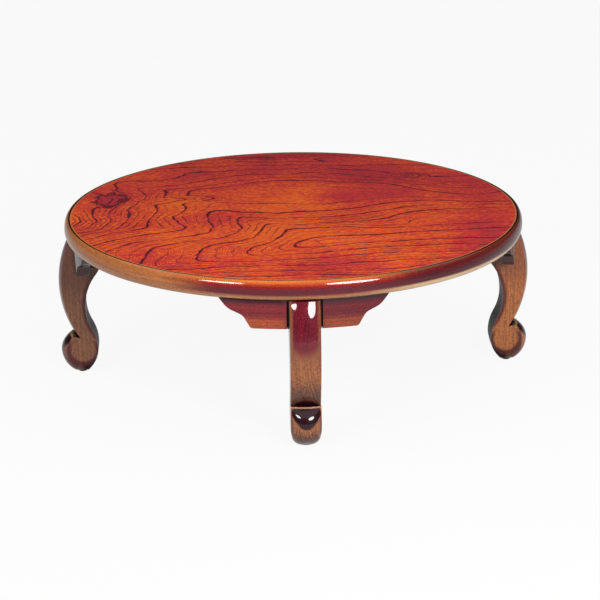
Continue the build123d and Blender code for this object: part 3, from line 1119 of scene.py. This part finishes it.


# %% [markdown]
# ## Solid wood
#
# The solid pieces are a plainer wood with straight grain. They are sprayed with tinted lacquer that is darkest
# where a piece turns away, and painted shade and painted reflections are laid into the same colours. The tint
# stops short of the edges, which stay lighter. The grain reads the piece's place in its board. Where the tint and
# the painted light lie is worked out from the same place: across the leg's thickness and up its height, or around
# the nose of the rim. It could be painted by hand too, but this way the tint follows each piece wherever it is
# turned.


# %% Straight grain
def straight_grain(add, line_spacing, waviness):
    """Grain lines along a board, with pores. Gives the place in the board in
    millimetres, how dark the grain is, from 0 to 1, and slow changes."""
    board = add("Attribute", attribute_name="board").outputs["Vector"]
    along, side, depth = add("SeparateXYZ", board).outputs
    stretch = add("Attribute", attribute_name="stretch").outputs["Fac"]
    timber = add("VectorMath ADD", board, add("CombineXYZ", stretch))

    # grain lines that wander over stretches of about 290 by 45 mm
    slow = add("VectorMath MULTIPLY", timber, (3.5, 22.0, 22.0))
    wander = add("TexNoise", slow, 1.0, 2.0)
    across = add("Math MULTIPLY_ADD", wander, waviness, side)
    across = add("Math MULTIPLY_ADD", depth, 0.6, across)
    lines = add("CombineXYZ", along, across)
    bands = noise_share(add, lines, (2.0, 1 / line_spacing, 1.0), 0.35, 0.68, 0.0, 0.6, detail=1.0)

    # pores 14 mm long and 1.5 mm wide, coarser than real ones, so that they
    # show, and spots of 3 mm where the sprayed tint dried unevenly
    pores = noise_share(add, timber, (70.0, 650.0, 650.0), 0.42, 0.66, roughness=0.65)
    grain = add("Math MULTIPLY_ADD", pores, 0.45, bands)
    spots = noise_share(add, timber, 330.0, 0.35, 0.65, -0.25, 0.35, detail=1.0)
    grain = add("Math ADD", grain, spots, use_clamp=True)
    broad = noise_share(add, slow, 0.45, 0.35, 0.65)
    in_mm = add("VectorMath SCALE", board, inputs={"Scale": 1000.0})
    return add("SeparateXYZ", in_mm).outputs, grain, broad


# %% Rim wood
# around the nose, from its lower edge to its shoulder: tan at the lower edge, a painted reflection of the pale
# floor; dark wine in the middle, sprayed tint darkened by a painted reflection of the dark room; orange on the
# shoulder
nose_tint_and_reflection = (
    (0, "#BE9064"),
    (0.22, "#AA7048"),
    (0.38, "#5C1422"),
    (0.58, "#500A1A"),
    (0.76, "#861A1C"),
    (0.90, "#A8441A"),
    (1, "#BC6418"),
)


def rim_wood():
    """Edge moulding: orange on its shoulder and sprayed wine red below it, darkened in the middle by a painted
    reflection of the dark room, and tan at its lower edge, a painted reflection of the pale floor. Towards the
    left it is a lighter tan, also a painted reflection."""
    material, add = new_material("edge_moulding_lacquered")
    (along, inwards, height), grain, broad = straight_grain(add, 3.0 * mm, 0.012)
    angle = add("Math DIVIDE", along, table_radius / mm)
    uneven = add("Math MULTIPLY_ADD", broad, 3.0, height)
    nose_reach = half_thickness / mm
    around_nose = add("MapRange", uneven, -nose_reach, nose_reach)
    spray_and_reflection = add("ValToRGB", around_nose, stops=nose_tint_and_reflection)
    darker = add("Mix RGBA", 1.0, spray_and_reflection, "#8A6A60", blend_type="MULTIPLY")
    grain_share = add("Math MULTIPLY", grain, 0.55)
    colour = add("Mix RGBA", grain_share, spray_and_reflection, darker)

    # from the right round the back: dark wine, sprayed tint darkened by a painted reflection of the dark room, and
    # a cream lower edge, a painted reflection of the pale floor
    tint = add("Mix RGBA", grain, "#4A0A18", "#240610")
    above = add("MapRange", height, -9.0, -5.0)
    tint = add("Mix RGBA", above, "#C4A47C", tint)
    right = add("MapRange SMOOTHSTEP", angle, -1.40, -1.0, 0.0, 0.85)
    colour = add("Mix RGBA", right, colour, tint)

    # on the left, from the front over the rim's last joint to the back: a lighter tan, a painted reflection of
    # something pale on that side
    left_reflection_tan = add("Mix RGBA", grain, "#AC6A38", "#7E4C2C")
    left_from = add("MapRange SMOOTHSTEP", angle, -1.92, -2.22, 0.0, 0.9)
    left_to = add("MapRange SMOOTHSTEP", angle, 2.75, 3.05, 0.0, 0.9)
    left = add("Math MAXIMUM", left_from, left_to)
    colour = add("Mix RGBA", left, colour, left_reflection_tan)
    # painted shade: the rim's half of the groove is black
    in_groove = add("Math LESS_THAN", inwards, (lip_radius - table_radius) / mm + 0.5)
    colour = add("Mix RGBA", in_groove, colour, groove_shade_black)
    look = {"Base Color": colour, **gloss_coat}
    add("OutputMaterial", add("BsdfPrincipled", inputs=look))
    return material


# %% [markdown]
# ## Leg timber
#
# The outer face of a leg is coloured in four steps: wine red tint down its middle, ending in a bow; grey where it
# runs down into the slot and under the foot, a painted reflection of the pale floor; a black bow above the slot,
# painted shade where the slot's shadow falls, and black tint on the ball under it. The sawn sides stay brown and
# darken towards the outline. Each step is a share from 0 to 1 that mixes its colour over the steps before.


# %% Leg wood, outer face
def tinted_and_shaded_face(add, colour, grain, height, side):
    """The steps of the outer face over the bare timber: sprayed tint, a painted reflection of the floor and
    painted shade.
    """
    tint = add("Mix RGBA", grain, "#6C0E1E", "#3C0816")
    black = add("Mix RGBA", grain, "#2A0810", "#140408")
    grey = add("Mix RGBA", grain, "#5E3C34", "#33201C")
    on_face = add("MapRange", side, 27.9, 25.0)
    bow = add("Math POWER", add("Math DIVIDE", side, 20), 2.0)
    ragged = add("Math MULTIPLY_ADD", grain, -14.0, height)

    red_share = add("Math MULTIPLY_ADD", bow, -9.0, ragged)
    red_share = add("MapRange SMOOTHSTEP", red_share, 166, 190)
    in_middle = add("MapRange SMOOTHSTEP", side, 25.5, 20.5)
    red_share = add("Math MULTIPLY", red_share, in_middle)
    colour = add("Mix RGBA", red_share, colour, tint)

    # painted reflection of the pale floor: grey where the face runs down into the slot, and under the foot
    floor_reflection_share = add("MapRange SMOOTHSTEP", ragged, 134, 90, 0.0, 0.9)
    above_slot = add("MapRange", height, 60, 66)
    floor_reflection_share = add("Math MULTIPLY", floor_reflection_share, above_slot)
    under_foot = add("MapRange", ragged, 30, 18, 0.0, 0.85)
    floor_reflection_share = add("Math MAXIMUM", floor_reflection_share, under_foot)
    floor_reflection_share = add("Math MULTIPLY", floor_reflection_share, on_face)
    colour = add("Mix RGBA", floor_reflection_share, colour, grey)

    # painted shade: a black bow above the slot, where its shadow falls; under the slot, the ball's black tint
    black_from = add("Math MULTIPLY_ADD", bow, 12.0, height)
    black_from = add("MapRange", black_from, 94, 90)
    black_to = add("Math MULTIPLY_ADD", grain, -4.0, height)
    black_to = add("Math MULTIPLY_ADD", bow, -14.0, black_to)
    black_to = add("MapRange SMOOTHSTEP", black_to, 37, 42)
    slot_shade_and_ball_share = add("Math MULTIPLY", black_from, black_to)
    slot_shade_and_ball_share = add("Math MULTIPLY", slot_shade_and_ball_share, on_face)
    return add("Mix RGBA", slot_shade_and_ball_share, colour, black), tint, black, on_face


# %% Leg wood, sawn sides
def outline_share(add, side, reach, height):
    """How dark a sawn side is: most along the ball's outline and the inner
    outline, whose two arcs meet at the waist."""
    on_side_face = add("CombineXYZ", reach, height)
    from_ball, below, above = (
        from_middle(add, on_side_face, ((centre[0] - pivot.x) / mm, centre[1] / mm))
        for centre in (ball_middle, waist_low_centre, waist_high_centre)
    )
    ball_edge = add("MapRange SMOOTHSTEP", from_ball, 21, 28, 0.0, 0.9)
    on_foot = add("MapRange", height, 72, 58)
    ball_edge = add("Math MULTIPLY", ball_edge, on_foot)
    below = add("Math SUBTRACT", below, (waist[0] - waist_low_centre[0]) / mm)
    above = add("Math SUBTRACT", above, (waist[0] - waist_high_centre[0]) / mm)
    above_waist = add("Math GREATER_THAN", height, waist[1] / mm)
    inner_edge = add("Mix", above_waist, below, above)
    inner_edge = add("MapRange SMOOTHSTEP", inner_edge, 3.5, 10, 0.9, 0.0)
    on_shank = add("MapRange", height, 215, 190)
    inner_edge = add("Math MULTIPLY", inner_edge, on_shank)
    edge_share = add("Math MAXIMUM", ball_edge, inner_edge)
    on_side = add("MapRange", side, 24.0, 27.0)
    return add("Math MULTIPLY", edge_share, on_side)


# %% Leg wood
def leg_wood():
    """Leg timber: brown on its sawn sides, and tinted on its outer face, with a painted reflection and painted
    shade there; lighter along the edges, where the tint stops. Its inner face is almost black, under thinner
    lacquer."""
    material, add = new_material("leg_timber_lacquered")
    (height, side, reach), grain, _ = straight_grain(add, 3.0 * mm, 0.010)
    side = add("Math ABSOLUTE", side)
    tone = add("Attribute", attribute_name="tone").outputs["Fac"]
    light = add("Mix RGBA", tone, "#7E5036", "#B86C3A")
    dark = add("Mix RGBA", tone, "#563626", "#7E4826")
    bare = add("Mix RGBA", grain, light, dark)
    stained = add("MapRange", height, 150, 200, 0.0, 0.5)
    bare = add("Mix RGBA", stained, bare, "#50241E")
    colour, tint, black, on_face = tinted_and_shaded_face(add, bare, grain, height, side)

    # the scroll's sharp upper edge is drawn as a lighter line
    tip = add("Math ABSOLUTE", add("Math SUBTRACT", height, scroll_top / mm - 0.3))
    tip = add("MapRange", tip, 0.8, 2.0, 0.85, 0.0)
    at_front = add("Math GREATER_THAN", reach, scroll_reach / mm - 3)
    tip = add("Math MULTIPLY", tip, at_front)
    colour = add("Mix RGBA", tip, colour, "#A07458")

    edge_tint = add("Mix RGBA", 0.6, tint, black)
    edge_share = outline_share(add, side, reach, height)
    colour = add("Mix RGBA", edge_share, colour, edge_tint)
    inner_face = add("MapRange", reach, 30, 20)
    inner_face = add("Math MULTIPLY", inner_face, on_face)
    colour = add("Mix RGBA", inner_face, colour, black)
    coat = add("MapRange", inner_face, 0.0, 1.0, 1.0, 0.12)
    look = {"Base Color": colour, **gloss_coat, "Coat Weight": coat}
    add("OutputMaterial", add("BsdfPrincipled", inputs=look))
    return material


# %% Apron wood
def apron_wood():
    """Apron boards: dark at the top, a painted shadow of the rim, then wine red, then orange at the bottom. Their
    ends beside the leg are dark: end grain that drank the stain, and painted shade in the narrow gap. Some boards,
    most of all beside the side legs, get painted shade all over."""
    material, add = new_material("apron_timber_lacquered")
    (along, height, _), grain, broad = straight_grain(add, 4.0 * mm, 0.014)
    bottom = add("Mix RGBA", grain, "#A24A20", "#6A2818")
    tint = add("Mix RGBA", grain, "#760E1C", "#440814")
    up = add("MapRange SMOOTHSTEP", height, 8, 30)
    patchy = add("MapRange", broad, 0.0, 1.0, -0.3, 0.3)
    up = add("Math ADD", up, patchy, use_clamp=True)
    colour = add("Mix RGBA", up, bottom, tint)
    # painted shadow of the rim: dark along the top of the board
    rim_shadow_share = add("MapRange SMOOTHSTEP", height, 40, 54)
    colour = add("Mix RGBA", rim_shadow_share, colour, "#2A0A16")
    # dark ends beside the leg: end grain, and painted shade in the narrow gap, with less coat
    end_grain_and_gap_shade = add("MapRange", along, 33.4, 32.4)
    colour = add("Mix RGBA", end_grain_and_gap_shade, colour, "#100608")
    # painted shade: boards with a low value are darkened almost to black
    tone = add("Attribute", attribute_name="tone").outputs["Fac"]
    painted_apron_shade = add("MapRange", tone, 0.5, 0.0, 0.0, 0.9)
    colour = add("Mix RGBA", painted_apron_shade, colour, "#1E0A12")
    coat = add("MapRange", end_grain_and_gap_shade, 0.0, 1.0, 1.0, 0.15)
    look = {"Base Color": colour, **gloss_coat, "Coat Weight": coat}
    add("OutputMaterial", add("BsdfPrincipled", inputs=look))
    return material


# %% [markdown]
# ## Boards, metal, plastic and felt
#
# What sits under the top is plain: lauan core, a backing sheet, black
# stove-enamelled brackets, zinc-plated pins and screws, nylon sleeves and wool
# felt. Each could have a recipe of its own. But little of them is seen, so one
# recipe serves all boards and one all hard smooth pieces, each with the
# colours and the grit of its own material.


# %% Plain finishes
def plain_board(name, light, dark, spacing, roughness):
    """Unpolished board with long soft grain along X."""
    material, add = new_material(name)
    place = add("TexCoord").outputs["Object"]
    stretched = add("VectorMath MULTIPLY", place, (8.0, 1 / spacing, 1 / spacing))
    noise = add("TexNoise", stretched, 1.0, 4.0, 0.6)
    share = add("MapRange", noise, 0.35, 0.65)
    colour = add("Mix RGBA", share, light, dark)
    bump = add("Bump", 0.25, 0.2 * mm, inputs={"Height": noise})
    look = {"Base Color": colour, "Roughness": roughness, "Normal": bump}
    add("OutputMaterial", add("BsdfPrincipled", inputs=look))
    return material


def hard_piece(name, colour, metallic, roughness, grit, mirror=0.5):
    """Sheet metal, turned metal or moulded plastic, with a faint grain from
    its making. Mirror is how much it reflects, 0.5 for most materials."""
    material, add = new_material(name)
    place = add("TexCoord").outputs["Object"]
    noise = add("TexNoise", place, 1 / grit, 3.0)
    rough = add("MapRange", noise, 0.3, 0.7, roughness - 0.06, roughness + 0.08)
    bump = add("Bump", 0.15, 0.1 * mm, inputs={"Height": noise})
    look = {"Base Color": colour, "Metallic": metallic, "Specular IOR Level": mirror}
    shader = add("BsdfPrincipled", inputs={**look, "Roughness": rough, "Normal": bump})
    add("OutputMaterial", shader)
    return material


def felt():
    """Brown wool felt, cut from a sheet: matt and fuzzy."""
    material, add = new_material("wool_felt")
    place = add("TexCoord").outputs["Object"]
    # tufts of 1.4 mm, as single fibres are too fine to show
    fibres = add("TexNoise", place, 700.0, 4.0, 0.7)
    share = add("MapRange", fibres, 0.35, 0.65)
    colour = add("Mix RGBA", share, "#4A3A30", "#2E241E")
    bump = add("Bump", 0.6, 0.3 * mm, inputs={"Height": fibres})
    look = {"Base Color": colour, "Roughness": 0.95, "Sheen Weight": 0.4, "Normal": bump}
    add("OutputMaterial", add("BsdfPrincipled", inputs=look))
    return material


# %% Finishes by slot
finishes = {
    "top_veneer": zelkova_veneer(),
    "rim_wood": rim_wood(),
    "leg_wood": leg_wood(),
    "apron_wood": apron_wood(),
    "core_board": plain_board("lauan_core_board", "#B98A5E", "#94643E", 3 * mm, 0.7),
    "back_sheet": plain_board("balancing_sheet", "#7A4A30", "#5E3624", 4 * mm, 0.5),
    "block_wood": plain_board("glue_block_timber", "#C39A6B", "#A2774A", 2.5 * mm, 0.75),
    "bracket_steel": hard_piece("stove_enamelled_steel", "#150C0B", 0.0, 0.38, 0.8 * mm, 0.25),
    "bright_steel": hard_piece("zinc_plated_steel", "#C9C6BE", 1.0, 0.30, 0.6 * mm),
    "sleeve_plastic": hard_piece("moulded_nylon", "#D8D2C2", 0.0, 0.45, 1.2 * mm, 0.25),
    "felt": felt(),
}
for material in bpy.data.materials:
    if material.use_nodes:
        print(material.name, "nodes", len(material.node_tree.nodes))

# %% [markdown]
# ## Putting the finishes on
#
# The pieces modelled here and the CAD pieces that stay both have a slot. A
# piece gets the finish of its slot. Each could get it as soon as it is made.
# It is done at the end, because then both kinds go through the same few lines.

# %% Finishes on pieces
for part in frame["record"]["subparts"]:
    piece_slots.setdefault(frame["nodes"][part["node"]].name, part["material_slot"])
for name, slot in piece_slots.items():
    piece = bpy.data.objects[name]
    piece.data.materials.clear()
    piece.data.materials.append(finishes[slot])
print(len(piece_slots), "pieces have a finish")

# %% [markdown]
# ## Floor
#
# A plain pale floor, so wide that it reaches the horizon. More light could
# make it white, but would bleach the table as well. So for the camera and for
# reflections it glows white and is only partly lit, and it keeps the table's
# shadow. Its mirror image in the lacquer is dimmer, and more so far from the
# table, as the light on a studio floor falls off.

# %% Floor
floor_radius = 150
floor_glow = 0.92

select_nothing()
bpy.ops.mesh.primitive_circle_add(vertices=128, radius=floor_radius, fill_type="NGON")
floor = bpy.context.object
floor.name = "floor"
floor_material, add = new_material("matt_white_paper")
paper = add("BsdfPrincipled", inputs={"Base Color": "#B2B2B0", "Roughness": 0.9})
white = add("Emission", "#FFFFFF", 1.0)
ray = add("LightPath").outputs
seen = add("Math ADD", ray["Is Camera Ray"], ray["Is Glossy Ray"])
seen = add("Math ADD", seen, ray["Is Transmission Ray"], use_clamp=True)
whiteness = add("Math MULTIPLY", seen, floor_glow)
far_out = add("VectorMath LENGTH", add("TexCoord").outputs["Object"])
falloff = add("MapRange", far_out, 0.7, 2.0, 0.55, 0.2)
falloff = add("Math MAXIMUM", falloff, ray["Is Camera Ray"])
whiteness = add("Math MULTIPLY", whiteness, falloff)
add("OutputMaterial", add("MixShader", whiteness, paper, white))
floor.data.materials.append(floor_material)
print("floor", floor_radius, "m")

# %% [markdown]
# ## Light
#
# Two softboxes stand in front of the table, left and right, a little above
# it: they draw the white strips on the rim and the spots on the knees. One
# large lamp would light it as well, but a gloss coat shows the shape of each
# lamp, and here two round ones are wanted. The room is a dark studio with a
# pale ceiling. The top mirrors the room just above the horizon, so that has
# to be dark, or its colour would wash out.

# %% Lamps and room
lamp_distance = 2.5
for name, azimuth, elevation, width, height, watts in (
    ("softbox_left", -36, 24.0, 0.88, 0.50, 35),
    ("softbox_right", 24, 20.5, 1.05, 0.70, 58),
):
    lamp_data = bpy.data.lights.new(name, "AREA")
    lamp_data.shape = "ELLIPSE"
    lamp_data.size = width
    lamp_data.size_y = height
    lamp_data.energy = watts
    lamp = bpy.data.objects.new(name, lamp_data)
    bpy.context.scene.collection.objects.link(lamp)
    turn, rise = radians(azimuth), radians(elevation)
    level = cos(rise)
    away = Vector((sin(turn) * level, -cos(turn) * level, sin(rise)))
    lamp.location = away * lamp_distance + Vector((0, 0, table_height))
    lamp.rotation_euler = (-away).to_track_quat("-Z", "Y").to_euler()
    print(name, "at", lamp.location[:])

world = bpy.data.worlds.new("studio")
bpy.context.scene.world = world
world.use_nodes = True
world.node_tree.nodes.clear()
add = partial(add_node, world.node_tree)
height = add("SeparateXYZ", add("TexCoord").outputs["Generated"]).outputs[2]
ceiling = add("MapRange SMOOTHSTEP", height, 0.55, 0.72, 0.04, 0.95)
low_wall = add("MapRange SMOOTHSTEP", height, 0.0, 0.17, 0.22, 0.04)
room = add("Math MAXIMUM", ceiling, low_wall)
add("OutputWorld", add("Background", "#FFFFFF", room))
